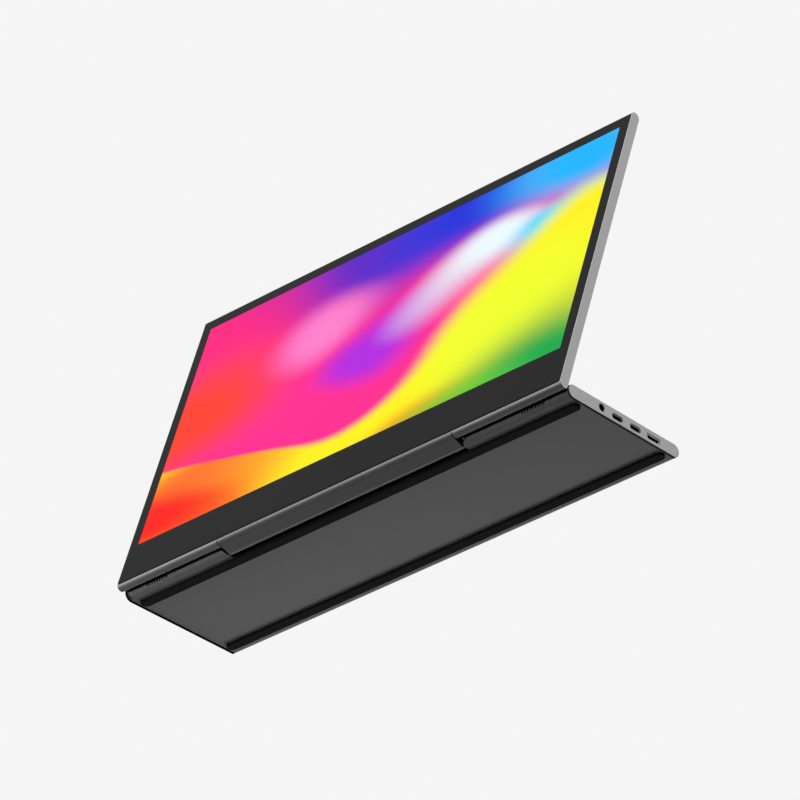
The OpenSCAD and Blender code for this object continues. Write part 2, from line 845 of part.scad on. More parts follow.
module base_bottom_cover() {
    color("#949494") on_base() difference() {
        union() {
            difference() {
                along_x(-cover_half, cover_half) intersection() {
                    base_profile();
                    cover_region();
                }
                base_room();
            }
            for (x = cover_front_xs) rod_z(x, cover_front_y, floor_z - eps, cover_boss_top, cover_boss_r);
            for (x = cover_rear_xs) rod_z(x, cover_rear_y, floor_z - eps, cover_boss_top, cover_boss_r);
        }
        notch();
        slots(right_slots_at);
        slots(-left_slots_at);
        socket_openings();
        key_openings();
        foot_recess_room(front_foot_at);
        foot_recess_room(rear_foot_at);
        for (x = cover_front_xs) cover_hole(x, cover_front_y);
        for (x = cover_rear_xs) cover_hole(x, cover_rear_y);
        for (x = board_screw_xs, y = board_screw_ys) head_pocket(x, y);
        for (y = key_screw_ys) head_pocket(-key_board_x1 + key_screw_in, y);
    }
}

// Hole for a cover screw, with a seat for its head above the foot
module cover_hole(x, y) {
    rod_z(x, y, -1, cover_boss_top + 1, screw_r + screw_gap);
    rod_z(x, y, -1, seat_under_head, head_r + 0.2);
}

// Pocket in the floor for the head of a board screw
module head_pocket(x, y) {
    rod_z(x, y, pocket_z, floor_z + 1, head_r + 0.2);
}

module trim() {
    color("#141414") on_base() along_x(base_half - trim_w, base_half) trim_profile();
}

module right_trim() {
    trim();
}

module left_trim() {
    left() trim();
}

// Rubber strip with rounded lower edges and full-round ends
module foot(y0) {
    r = foot_w / 2;
    x1 = base_half - foot_end - r;
    color("#191919") on_base() translate([0, y0 + r, 0]) {
        along_x(-x1, x1) foot_section();
        both() translate([x1, 0, 0]) rotate_extrude() intersection() {
            foot_section();
            translate([0, -foot_proud - 1]) square([r + 1, foot_proud + trim_h + foot_recess + 2]);
        }
    }
}

module foot_section() {
    r = foot_w / 2;
    translate([-r, -foot_proud + foot_round]) square([2 * r, foot_proud - foot_round + trim_h + foot_recess]);
    translate([-r + foot_round, -foot_proud]) square([2 * r - 2 * foot_round, foot_round * 2]);
    for (s = [-1, 1]) translate([s * (r - foot_round), -foot_proud + foot_round]) circle(foot_round);
}

module front_foot() {
    foot(front_foot_at);
}

module rear_foot() {
    foot(rear_foot_at);
}

// Friction barrel around the pin, with a plate screwed under the top wall
module hinge_bracket() {
    color("#8a8c8e") on_base() difference() {
        union() {
            rod_x(bracket_x0, bracket_x1, axis_y, axis_z, bracket_r);
            block(bracket_x0, bracket_x1, axis_y, axis_y + bracket_depth,
                axis_z - bracket_t / 2, axis_z + bracket_t / 2);
        }
        rod_x(bracket_x0 - 1, bracket_x1 + 1, axis_y, axis_z, pin_r + running_gap);
        for (y = bracket_screw_ys) rod_z(bracket_mid, y, 0, base_t, screw_r + screw_gap);
    }
}

module right_hinge_bracket() {
    hinge_bracket();
}

module left_hinge_bracket() {
    left() hinge_bracket();
}

// A screw that points up, with its head under the height z
module screw_up(x, y, z, len, head) {
    rod_z(x, y, z - head, z, head_r);
    rod_z(x, y, z - eps, z + len, screw_r);
}

module bracket_screws() {
    color("#c8c8c8") on_base() both() for (y = bracket_screw_ys)
        screw_up(bracket_mid, y, axis_z - bracket_t / 2, screw_end - axis_z + bracket_t / 2, head_h);
}

module cover_screws() {
    color("#c8c8c8") on_base() {
        for (x = cover_front_xs)
            screw_up(x, cover_front_y, seat_under_head, screw_end - seat_under_head, head_h);
        for (x = cover_rear_xs)
            screw_up(x, cover_rear_y, seat_under_head, screw_end - seat_under_head, head_h);
    }
}

module main_board() {
    color("#1d5b3a") on_base() {
        difference() {
            block(board_x0, board_x1, board_front, board_front + board_depth, board_low, board_top);
            for (x = board_screw_xs, y = board_screw_ys)
                rod_z(x, y, 0, base_t, screw_r + screw_gap);
        }
        translate([cable_x - connector_w / 2, cable_socket_y, board_top - eps])
            cube([connector_w, connector_d, connector_h]);
        translate([board_x0 + key_flex_reach, key_ys[1] - connector_w / 2, board_top - eps])
            cube([connector_d, connector_w, key_connector_h]);
    }
}

module board_screws() {
    color("#c8c8c8") on_base() {
        for (x = board_screw_xs, y = board_screw_ys)
            screw_up(x, y, board_low, screw_end - board_low, low_head_h);
        for (y = key_screw_ys)
            screw_up(-key_board_x1 + key_screw_in, y, board_low, screw_end - board_low, low_head_h);
    }
}

module board_chips() {
    color("#202226") on_base() translate([chip_x, chip_y, board_top]) {
        translate([-big_chip / 2, -big_chip / 2, 0]) cube([big_chip, big_chip, big_chip_t]);
        translate([-big_chip / 2 - chip_gap - memory_w, -memory_d / 2, 0]) cube([memory_w, memory_d, chip_t]);
        translate([big_chip / 2 + chip_gap, -power_chip / 2, 0]) cube([power_chip, power_chip, chip_t]);
        translate([-memory_w / 2, big_chip / 2 + chip_gap / 2, 0]) cube([memory_w, chip_gap, chip_t]);
        for (k = [1, 2]) translate([big_chip / 2 + chip_gap, -power_chip / 2 - k * chip_gap, 0])
            cube([chip_gap * 3 / 4, chip_gap / 2, chip_t]);
    }
}

module board_shield() {
    w = shield_w / 2;
    d = shield_d / 2;
    t = shield_t;
    color("#b4b6b8") on_base() translate([chip_x, chip_y, board_top]) difference() {
        block(-w, w, -d, d, 0, shield_h);
        block(-w + t, w - t, -d + t, d - t, -1, shield_h - t);
    }
}

module audio_jack() {
    x0 = socket_x1 - jack_len;
    color("#1b1b1d") on_base() difference() {
        union() {
            block(x0, room_half - 0.1, jack_at - 3, jack_at + 3, board_top, board_top + jack_body);
            rod_x(room_half - 1, jack_x1, jack_at, jack_z, jack_r + jack_sleeve);
        }
        rod_x(x0 + 1, base_half, jack_at, jack_z, jack_r);
    }
}

// Metal shell around a moulded tongue
module usb_c_socket(y) {
    x0 = socket_x1 - socket_len;
    color("#aeb0b2") on_base() translate([0, y, usb_z]) {
        difference() {
            along_x(x0, socket_x1) usb_outline(0);
            along_x(x0 + 1, socket_x1 + 1) usb_outline(-shell_t);
        }
        block(x0 + 1 - eps, socket_x1 - tongue_back, -3.3, 3.3, -0.35, 0.35);
    }
}

module front_usb_c_socket() {
    usb_c_socket(usb_a_at);
}

module rear_usb_c_socket() {
    usb_c_socket(usb_b_at);
}

module mini_hdmi_socket() {
    x0 = socket_x1 - socket_len;
    color("#aeb0b2") on_base() translate([0, hdmi_at, hdmi_z]) {
        difference() {
            along_x(x0, socket_x1) hdmi_outline(0);
            along_x(x0 + 1, socket_x1 + 1) hdmi_outline(-shell_t);
        }
        block(x0 + 1 - eps, socket_x1 - tongue_back, -4, 4, -0.2, 0.4);
    }
}

// Closed box with an outlet towards the slots, with its centre at x
module speaker(x) {
    w = speaker_w / 2;
    top = floor_z + speaker_h;
    color("#1e1e20") on_base() translate([x, speaker_y0, 0]) {
        difference() {
            block(-w, w, 0, speaker_depth, floor_z, top);
            block(-w + outlet_in, w - outlet_in, -1, outlet_d, floor_z + 1.4, top - 1.2);
        }
        block(-w + magnet_in, w - magnet_in, outlet_d + 1, speaker_depth - outlet_d, top - eps, top + magnet_t);
    }
}

module right_speaker() {
    speaker(right_slots_at);
}

module left_speaker() {
    speaker(-left_slots_at);
}

// Black mesh that lines the nose behind the slots
module slot_mesh(x) {
    w = slot_count * slot_pitch / 2 + 2;
    color("#0c0c0c") on_base() translate([x, 0, 0]) intersection() {
        difference() {
            rod_x(-w, w, cavity_y, cavity_z, cavity_r);
            rod_x(-w - 1, w + 1, cavity_y, cavity_z, cavity_r - mesh_t);
        }
        block(-w, w, 0, nose_depth - 0.1, floor_z, room_top);
    }
}

module right_slot_mesh() {
    slot_mesh(right_slots_at);
}

module left_slot_mesh() {
    slot_mesh(-left_slots_at);
}

// From the end of the right pin, round to the socket on the main board
module base_cable() {
    x0 = pin_x1 + 0.3;
    color("#1a1a1c") on_base() {
        rod_x(x0, cable_x - cable_bend, axis_y, axis_z, cable_r);
        translate([cable_x - cable_bend - eps, axis_y + cable_bend, axis_z])
            rotate([0, 0, -90]) elbow(cable_bend);
        rod_y(cable_x - eps, axis_y + cable_bend - eps, cable_socket_y, axis_z, cable_r);
    }
}

module key_board() {
    color("#1d5b3a") on_base() left() difference() {
        block(key_board_x1 - key_board_w, key_board_x1,
            key_ys[0] - key_board_margin, key_ys[2] + key_board_margin, board_low, board_top);
        for (y = key_screw_ys)
            rod_z(key_board_x1 - key_screw_in, y, 0, base_t, screw_r + screw_gap);
    }
}

module key_switches() {
    color("#2a2a2c") on_base() left() for (y = key_ys) {
        block(key_board_x1 - switch_body, key_board_x1, y - 2.2, y + 2.2, board_top, key_z + 1);
        block(key_board_x1 - eps, switch_x1, y - 1, y + 1, key_z - 0.6, key_z + 0.6);
    }
}

// Flat cable along the cover's floor, from the key board to the main board
module key_flex() {
    x0 = -key_board_x1 + key_board_w - 3;
    x1 = x0 + 3.5;
    x2 = board_x0 - 0.5;
    x3 = board_x0 + key_flex_reach;
    rise = board_top - floor_z;
    color("#b4703a") on_base() translate([0, key_ys[1] + key_flex_w / 2, 0]) rotate([90, 0, 0])
        linear_extrude(height = key_flex_w)
        polygon([[x0, board_top], [x1, board_top], [x1 + rise, floor_z], [x2 - rise, floor_z],
            [x2, board_top], [x3, board_top], [x3, board_top + flex_t], [x2 - 0.1, board_top + flex_t],
            [x2 - 0.1 - rise, floor_z + flex_t], [x1 + 0.1 + rise, floor_z + flex_t],
            [x1 + 0.1, board_top + flex_t], [x0, board_top + flex_t]]);
}

// Pill in the end face with a flange behind the wall
module side_key(y) {
    color("#8f8f8f") on_base() left() translate([0, y, key_z]) {
        along_x(key_back + key_flange_t - eps, base_half) key_outline(0);
        along_x(key_back, key_back + key_flange_t) key_outline(key_flange);
    }
}

module power_key() {
    side_key(key_ys[0]);
}

module plus_key() {
    side_key(key_ys[1]);
}

module minus_key() {
    side_key(key_ys[2]);
}

module closing_bumpers() {
    color("#1c1c1c") on_base() both() for (y = [bumper_front, base_depth - bumper_in])
        rod_z(base_half - bumper_in, y, base_t, base_t + bumper_h, bumper_r);
}

display_rear_housing();
front_glass();
lcd_cell();
diffuser_sheets();
light_guide();
reflector_sheet();
led_strip();
panel_frame();
panel_back_plate();
mounting_tapes();
panel_flexes();
driver_board();
driver_board_screws();
display_cable();
hinge_spine();
spine_screws();
left_hinge_pin();
right_hinge_pin();
base_top_housing();
base_bottom_cover();
left_trim();
right_trim();
front_foot();
rear_foot();
left_hinge_bracket();
right_hinge_bracket();
bracket_screws();
main_board();
board_screws();
board_chips();
board_shield();
audio_jack();
front_usb_c_socket();
rear_usb_c_socket();
mini_hdmi_socket();
left_speaker();
right_speaker();
left_slot_mesh();
right_slot_mesh();
base_cable();
key_board();
key_switches();
key_flex();
power_key();
plus_key();
minus_key();
cover_screws();
closing_bumpers();
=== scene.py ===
import math
import bpy
import bmesh
from mathutils import Matrix, Vector, geometry


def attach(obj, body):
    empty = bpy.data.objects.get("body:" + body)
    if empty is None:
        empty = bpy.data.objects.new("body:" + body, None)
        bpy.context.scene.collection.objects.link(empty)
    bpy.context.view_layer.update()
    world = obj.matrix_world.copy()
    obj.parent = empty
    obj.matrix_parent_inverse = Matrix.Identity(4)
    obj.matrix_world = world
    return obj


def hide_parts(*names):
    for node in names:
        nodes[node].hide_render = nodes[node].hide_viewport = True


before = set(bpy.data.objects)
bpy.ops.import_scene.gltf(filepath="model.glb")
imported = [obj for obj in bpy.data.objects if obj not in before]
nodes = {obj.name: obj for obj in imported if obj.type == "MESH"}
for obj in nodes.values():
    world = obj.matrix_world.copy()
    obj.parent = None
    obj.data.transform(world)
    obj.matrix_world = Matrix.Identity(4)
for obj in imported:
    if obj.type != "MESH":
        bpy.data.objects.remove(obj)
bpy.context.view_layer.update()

mm = 0.001


def linear(hexColour):  # sRGB hex to the linear values that sockets take
    channels = []
    for i in (1, 3, 5):
        c = int(hexColour[i:i + 2], 16) / 255
        channels.append(c / 12.92 if c <= 0.04045 else ((c + 0.055) / 1.055) ** 2.4)
    return (*channels, 1.0)


def addNode(tree, kind, settings=None, **inputs):  # a node, its settings, its values and its links
    node = tree.nodes.new("ShaderNode" + kind)
    for key, value in (settings or {}).items():
        setattr(node, key, value)
    for key, value in inputs.items():
        number = key[1:]
        socket = node.inputs[int(number) if number.isdigit() else key.replace("_", " ")]
        if isinstance(value, bpy.types.NodeSocket):
            tree.links.new(value, socket)
        else:
            socket.default_value = value
    return node


def newMaterial(name, colour):  # an empty material with the place in the object, in metres at rest
    material = bpy.data.materials.new(name)
    material.use_nodes = True
    material.diffuse_color = linear(colour)
    tree = material.node_tree
    tree.nodes.clear()
    return material, tree, addNode(tree, "TexCoord").outputs["Object"]


def give(material, *names):  # one material on whole CAD nodes
    for name in names:
        nodes[name].data.materials.clear()
        nodes[name].data.materials.append(material)


print("camera and studio")

scene = bpy.context.scene
scene.view_settings.view_transform = "Standard"

# metres and degrees
studio = {
    "cameraPlace": (1.85366641, -2.03307585, -1.56845838),
    "cameraTurn": (121.105260, 0.021907, 42.270696),
    "lens": 237.0512,
    "sensor": 36.0,
    "clip": (0.05, 100.0),
    "background": "#F5F5F5",
    "ambient": 0.01,
    "floorHeight": -2.6,
    "floorColour": "#DCDCDC",
    "floorRadius": 0.9,
    "floorCorners": 96,
    "floorFade": (0.25, 0.95),  # share of the radius
    "aim": (0, 0, 0.1),
    "lamps": [  # place, width, watts
        ((-0.9, -2.2, 2.65), 1.2, 184.0),
        ((3.4, 0.1, 1.0), 1.6, 82.0),
        ((0.2, 3.2, 2.0), 2.0, 60.0),
        ((-0.25, 0.8, -0.38), 0.4, 2.2),
        ((-0.75, -0.6, 0.0), 0.2, 1.9),
    ],
}

camera = bpy.data.objects.new("camera", bpy.data.cameras.new("camera"))
camera.data.lens = studio["lens"]
camera.data.sensor_width = studio["sensor"]
camera.data.clip_start, camera.data.clip_end = studio["clip"]
camera.location = studio["cameraPlace"]
camera.rotation_euler = [math.radians(a) for a in studio["cameraTurn"]]
scene.collection.objects.link(camera)
scene.camera = camera

for number, (place, width, watts) in enumerate(studio["lamps"]):
    data = bpy.data.lights.new(f"softbox{number}", "AREA")
    data.shape = "SQUARE"
    data.size = width
    data.energy = watts
    lamp = bpy.data.objects.new(f"softbox{number}", data)
    lamp.location = place
    lamp.rotation_euler = (Vector(studio["aim"]) - Vector(place)).to_track_quat("-Z", "Y").to_euler()
    lamp.visible_camera = False
    lamp.visible_glossy = False
    scene.collection.objects.link(lamp)

world = bpy.data.worlds.new("studioWorld")
world.use_nodes = True
scene.world = world
tree = world.node_tree
tree.nodes.clear()
light = addNode(tree, "LightPath").outputs
seen = addNode(tree, "Math", {"operation": "MAXIMUM"}, i0=light["Is Camera Ray"], i1=light["Is Glossy Ray"])
seen = addNode(tree, "Math", {"operation": "MAXIMUM"}, i0=seen.outputs[0], i1=light["Is Transmission Ray"])
soft = addNode(tree, "Background", Color=(1, 1, 1, 1), Strength=studio["ambient"])
paper = addNode(tree, "Background", Color=linear(studio["background"]), Strength=1.0)
both = addNode(tree, "MixShader", i0=seen.outputs[0], i1=soft.outputs[0], i2=paper.outputs[0])
addNode(tree, "OutputWorld", Surface=both.outputs[0])


def studioFloor():  # a pale disc that fades into the backdrop towards its rim
    s = studio
    radius = s["floorRadius"]
    material, tree, place = newMaterial("paleFloor", s["floorColour"])
    far = addNode(tree, "VectorMath", {"operation": "LENGTH"}, i0=place).outputs["Value"]
    fade = addNode(tree, "MapRange", {"interpolation_type": "SMOOTHSTEP"}, Value=far,
                   i1=radius * s["floorFade"][0], i2=radius * s["floorFade"][1]).outputs[0]
    matt = addNode(tree, "BsdfDiffuse", Color=linear(s["floorColour"]))
    clear = addNode(tree, "BsdfTransparent")
    mixed = addNode(tree, "MixShader", i0=fade, i1=matt.outputs[0], i2=clear.outputs[0])
    addNode(tree, "OutputMaterial", Surface=mixed.outputs[0])
    mesh = bpy.data.meshes.new("floor")
    corners = range(s["floorCorners"])
    turns = [2 * math.pi * i / s["floorCorners"] for i in corners]
    mesh.from_pydata([(radius * math.cos(a), radius * math.sin(a), 0) for a in turns], [], [corners])
    floor = bpy.data.objects.new("floor", mesh)
    floor.location.z = s["floorHeight"]
    mesh.materials.append(material)
    scene.collection.objects.link(floor)


studioFloor()

# the display stands in its own frame, front at y 0 and centre of the bottom round at z 0, mm and degrees
display = {
    "lean": 18.0,
    "axis": (0.0, -41.81413, 5.25),  # the hinge axis in the frame of the part
    "hingeBack": 12.15,
    "thick": 6.8,
    "roundTop": 231.5,  # centre of the top round
}
toDisplay = (Matrix.Translation(Vector(display["axis"]) * mm)
             @ Matrix.Rotation(math.radians(-display["lean"]), 4, "X")
             @ Matrix.Translation((0, -display["hingeBack"] * mm, 0)))

print("metals")

# aluminium, bead blasted and anodised: an even silver grey with a very fine grain. The thick oxide scatters
# most of the light, so the sheen is weak
blasted = {
    "colour": "#B9B9BA", "cloud": "#B5B5B6", "cloudScale": 14.0,
    "metallic": 0.02, "specular": 0.02, "gloss": (0.45, 0.56),
    "gritMm": 0.25,  # real grit is about 0.1 mm
    "gritDepthMm": 0.012,
    # painted shade: the black laid on shaded places, and on the dark seam lines
    "black": "#050505",
}
# aluminium, blasted and anodised, for the spine, with painted shade: a little darker, as its faces look down, away
# from the lamps
spineShadedTones = {**blasted, "colour": "#ABABAC", "cloud": "#A7A7A8"}

# painted shade on the base, in black, mm: the notch round the hinge, a strip along the front of the nose where the
# display shades it, and the inside of the slots, which lie beneath the skin of the nose
paintedShadeAreas = {
    "notchHalf": 95.69, "notchBack": -37.66,
    "noseAxis": (-41.539, 5.925), "noseSkin": 4.15, "noseHalf": 178,
    "stripMiddle": 6.25, "stripHalf": 1.35,
}
# fine seams in the frame of the display, mm: one across each side of the lip, and one along the spine
seams = {"across": 95.5, "acrossHalf": 0.2, "lipTop": -1.95, "along": 3.95, "alongHalf": 0.06, "lipLow": -3.2}
# painted shade: the spine's end faces lie in shadow at the notch, and are painted black
spineShadeFrom = 94.9  # the end faces of the spine are painted black from here out, mm
# painted highlight: the lower edges of the lip and the spine are painted bright where they catch the light, in the
# frame of the display, mm
paintedEdgeLight = {"colour": "#DCDCDD", "lip": 5.75, "lipHalf": 0.55, "lipLow": -1.0, "spine": 12.4, "spineLow": -2.9}


# painted shade: the places on the base that are painted black because they lie in shadow
def paintedShadeMask(tree, place):
    s = paintedShadeAreas
    y, z = s["noseAxis"]
    split = addNode(tree, "SeparateXYZ", Vector=place).outputs
    side = addNode(tree, "Math", {"operation": "ABSOLUTE"}, i0=split["X"]).outputs[0]
    within = addNode(tree, "Math", {"operation": "LESS_THAN"}, i0=side, i1=s["notchHalf"] * mm).outputs[0]
    before = addNode(tree, "Math", {"operation": "LESS_THAN"}, i0=split["Y"], i1=s["notchBack"] * mm).outputs[0]
    notch = addNode(tree, "Math", {"operation": "MULTIPLY"}, i0=within, i1=before).outputs[0]
    flat = addNode(tree, "VectorMath", {"operation": "MULTIPLY"}, i0=place, i1=(0.0, 1.0, 1.0)).outputs[0]
    deep = addNode(tree, "VectorMath", {"operation": "DISTANCE"}, i0=flat, i1=(0.0, y * mm, z * mm)).outputs["Value"]
    slots = addNode(tree, "Math", {"operation": "LESS_THAN"}, i0=deep, i1=s["noseSkin"] * mm).outputs[0]
    level = addNode(tree, "Math", {"operation": "COMPARE"}, i0=split["Z"], i1=s["stripMiddle"] * mm,
                    i2=s["stripHalf"] * mm).outputs[0]
    front = addNode(tree, "Math", {"operation": "LESS_THAN"}, i0=split["Y"], i1=y * mm).outputs[0]
    strip = addNode(tree, "Math", {"operation": "MULTIPLY"}, i0=level, i1=front).outputs[0]
    nose = addNode(tree, "Math", {"operation": "MAXIMUM"}, i0=slots, i1=strip).outputs[0]
    within = addNode(tree, "Math", {"operation": "LESS_THAN"}, i0=side, i1=s["noseHalf"] * mm).outputs[0]
    nose = addNode(tree, "Math", {"operation": "MULTIPLY"}, i0=nose, i1=within).outputs[0]
    return addNode(tree, "Math", {"operation": "MAXIMUM"}, i0=notch, i1=nose).outputs[0]


def inDisplay(tree, place):  # the distance from the middle, and the depth and height in the display
    turn = toDisplay.inverted()
    own = addNode(tree, "Mapping", Vector=place, Location=turn.translation, Rotation=turn.to_euler()).outputs[0]
    split = addNode(tree, "SeparateXYZ", Vector=own).outputs
    side = addNode(tree, "Math", {"operation": "ABSOLUTE"}, i0=split["X"]).outputs[0]
    return side, split["Y"], split["Z"]


def seamPlaces(tree, place):
    s = seams
    side, depth, height = inDisplay(tree, place)
    line = addNode(tree, "Math", {"operation": "COMPARE"}, i0=side, i1=s["across"] * mm,
                   i2=s["acrossHalf"] * mm).outputs[0]
    below = addNode(tree, "Math", {"operation": "LESS_THAN"}, i0=height, i1=s["lipTop"] * mm).outputs[0]
    across = addNode(tree, "Math", {"operation": "MULTIPLY"}, i0=line, i1=below).outputs[0]
    line = addNode(tree, "Math", {"operation": "COMPARE"}, i0=depth, i1=s["along"] * mm,
                   i2=s["alongHalf"] * mm).outputs[0]
    below = addNode(tree, "Math", {"operation": "LESS_THAN"}, i0=height, i1=s["lipLow"] * mm).outputs[0]
    between = addNode(tree, "Math", {"operation": "LESS_THAN"}, i0=side, i1=s["across"] * mm).outputs[0]
    along = addNode(tree, "Math", {"operation": "MULTIPLY"}, i0=line, i1=below).outputs[0]
    along = addNode(tree, "Math", {"operation": "MULTIPLY"}, i0=along, i1=between).outputs[0]
    return addNode(tree, "Math", {"operation": "MAXIMUM"}, i0=across, i1=along).outputs[0]


# painted shade on the spine's end faces, with the dark seam lines
def spineShadeAndSeams(tree, place):
    across = addNode(tree, "SeparateXYZ", Vector=place).outputs["X"]
    side = addNode(tree, "Math", {"operation": "ABSOLUTE"}, i0=across).outputs[0]
    ends = addNode(tree, "Math", {"operation": "GREATER_THAN"}, i0=side, i1=spineShadeFrom * mm).outputs[0]
    return addNode(tree, "Math", {"operation": "MAXIMUM"}, i0=ends, i1=seamPlaces(tree, place)).outputs[0]


# painted highlight: the mask of the lit lower edges of the lip and the spine
def edgeLightPlaces(tree, place):
    s = paintedEdgeLight
    side, depth, height = inDisplay(tree, place)
    outer = addNode(tree, "Math", {"operation": "GREATER_THAN"}, i0=side, i1=seams["across"] * mm).outputs[0]
    line = addNode(tree, "Math", {"operation": "COMPARE"}, i0=depth, i1=s["lip"] * mm,
                   i2=s["lipHalf"] * mm).outputs[0]
    below = addNode(tree, "Math", {"operation": "LESS_THAN"}, i0=height, i1=s["lipLow"] * mm).outputs[0]
    lip = addNode(tree, "Math", {"operation": "MULTIPLY"}, i0=line, i1=outer).outputs[0]
    lip = addNode(tree, "Math", {"operation": "MULTIPLY"}, i0=lip, i1=below).outputs[0]
    line = addNode(tree, "Math", {"operation": "GREATER_THAN"}, i0=depth, i1=s["spine"] * mm).outputs[0]
    below = addNode(tree, "Math", {"operation": "LESS_THAN"}, i0=height, i1=s["spineLow"] * mm).outputs[0]
    spine = addNode(tree, "Math", {"operation": "MULTIPLY"}, i0=line, i1=below).outputs[0]
    return addNode(tree, "Math", {"operation": "MAXIMUM"}, i0=lip, i1=spine).outputs[0]


def blastedAluminium(name, s, shadeAndSeamAt=None, edgeLightAt=None):
    material, tree, place = newMaterial(name, s["colour"])
    grit = addNode(tree, "TexNoise", Vector=place, Scale=1 / (s["gritMm"] * mm), Detail=3.0).outputs["Fac"]
    cloud = addNode(tree, "TexNoise", Vector=place, Scale=s["cloudScale"], Detail=2.0).outputs["Fac"]
    colour = addNode(tree, "Mix", {"data_type": "RGBA"}, i0=cloud, i6=linear(s["cloud"]),
                     i7=linear(s["colour"])).outputs[2]
    # first the painted highlight on the lower edges, then black for painted shade and for the dark seams
    for placesOf, paint in ((edgeLightAt, paintedEdgeLight["colour"]), (shadeAndSeamAt, s["black"])):
        if placesOf:
            colour = addNode(tree, "Mix", {"data_type": "RGBA"}, i0=placesOf(tree, place), i6=colour,
                             i7=linear(paint)).outputs[2]
    gloss = addNode(tree, "MapRange", Value=grit, i3=s["gloss"][0], i4=s["gloss"][1]).outputs[0]
    relief = addNode(tree, "Bump", Height=grit, Strength=0.3, Distance=s["gritDepthMm"] * mm).outputs[0]
    shader = addNode(tree, "BsdfPrincipled", Base_Color=colour, Roughness=gloss, Metallic=s["metallic"],
                     Specular_IOR_Level=s["specular"], Normal=relief)
    addNode(tree, "OutputMaterial", Surface=shader.outputs[0])
    return material


give(blastedAluminium("blastedAluminium", blasted), "power_key", "plus_key", "minus_key")
give(blastedAluminium("blastedBaseAluminium", blasted, paintedShadeMask), "base_top_housing", "base_bottom_cover")
give(blastedAluminium("blastedDisplayAluminium", blasted, seamPlaces, edgeLightPlaces), "display_rear_housing")
give(blastedAluminium("blastedSpineAluminium", spineShadedTones, spineShadeAndSeams, edgeLightPlaces), "hinge_spine")

# steel sheet, nickel plated and drawn: a satin grey rim at the mouth of each socket. Behind the mouth the shell is
# painted black: painted shade, deep in the socket
shell = {"inside": "#050505", "mouth": 178.93, "roughness": 0.45, "metallic": 0.1, "streakMm": 0.15}


def platedShell(name, colour):
    s = shell
    material, tree, place = newMaterial(name, colour)
    stretched = addNode(tree, "Mapping", Vector=place, Scale=(0.06, 1.0, 1.0)).outputs[0]
    streak = addNode(tree, "TexNoise", Vector=stretched, Scale=1 / (s["streakMm"] * mm), Detail=2.0).outputs["Fac"]
    across = addNode(tree, "SeparateXYZ", Vector=place).outputs["X"]
    # painted shade: behind the mouth the shell is painted black
    rim = addNode(tree, "Math", {"operation": "GREATER_THAN"}, i0=across, i1=s["mouth"] * mm).outputs[0]
    tone = addNode(tree, "Mix", {"data_type": "RGBA"}, i0=rim, i6=linear(s["inside"]), i7=linear(colour)).outputs[2]
    gloss = addNode(tree, "MapRange", Value=streak, i3=s["roughness"] - 0.08, i4=s["roughness"] + 0.1).outputs[0]
    relief = addNode(tree, "Bump", Height=streak, Strength=0.5, Distance=0.006 * mm).outputs[0]
    shader = addNode(tree, "BsdfPrincipled", Base_Color=tone, Roughness=gloss, Metallic=s["metallic"],
                     Specular_IOR_Level=0.03, Normal=relief)
    addNode(tree, "OutputMaterial", Surface=shader.outputs[0])
    return material


give(platedShell("greyNickelShell", "#8E8E8F"), "front_usb_c_socket", "rear_usb_c_socket")
give(platedShell("brightNickelShell", "#EDEDEE"), "mini_hdmi_socket")

# cold-rolled steel, stamped: the sheets, brackets and pins that stay hidden, with faint roll lines
rolledLineMm = 0.4


def rolledSteel(name, colour, roughness):
    material, tree, place = newMaterial(name, colour)
    stretched = addNode(tree, "Mapping", Vector=place, Scale=(0.04, 1.0, 1.0)).outputs[0]
    lines = addNode(tree, "TexNoise", Vector=stretched, Scale=1 / (rolledLineMm * mm), Detail=3.0).outputs["Fac"]
    gloss = addNode(tree, "MapRange", Value=lines, i3=roughness - 0.08, i4=roughness + 0.1).outputs[0]
    relief = addNode(tree, "Bump", Height=lines, Strength=0.4, Distance=0.01 * mm).outputs[0]
    shader = addNode(tree, "BsdfPrincipled", Base_Color=linear(colour), Roughness=gloss, Metallic=1.0, Normal=relief)
    addNode(tree, "OutputMaterial", Surface=shader.outputs[0])
    return material


give(rolledSteel("rolledSteel", "#A9AAAB", 0.38), "panel_back_plate", "board_shield")
give(rolledSteel("zincPlatedSteel", "#8E9194", 0.42), "left_hinge_bracket", "right_hinge_bracket")
# painted shade: the hinge pins are painted near black, as they are seen only in the dark gap at the hinge
give(rolledSteel("pinSteelPaintedShade", "#1B1B1C", 0.4), "left_hinge_pin", "right_hinge_pin")

# carbon steel, nickel plated by the barrel: small screws with fine tumbling marks
screwSteel = {"colour": "#B0ADA6", "roughness": 0.32, "markMm": 0.2}


def platedScrew():
    s = screwSteel
    material, tree, place = newMaterial("platedScrew", s["colour"])
    marks = addNode(tree, "TexVoronoi", {"feature": "DISTANCE_TO_EDGE"}, Vector=place,
                    Scale=1 / (s["markMm"] * mm)).outputs["Distance"]
    relief = addNode(tree, "Bump", Height=marks, Strength=0.4, Distance=0.01 * mm).outputs[0]
    shader = addNode(tree, "BsdfPrincipled", Base_Color=linear(s["colour"]), Roughness=s["roughness"], Metallic=1.0,
                     Normal=relief)
    addNode(tree, "OutputMaterial", Surface=shader.outputs[0])
    return material


give(platedScrew(), "driver_board_screws", "spine_screws", "bracket_screws", "board_screws", "cover_screws")

print("plastics and rubber")


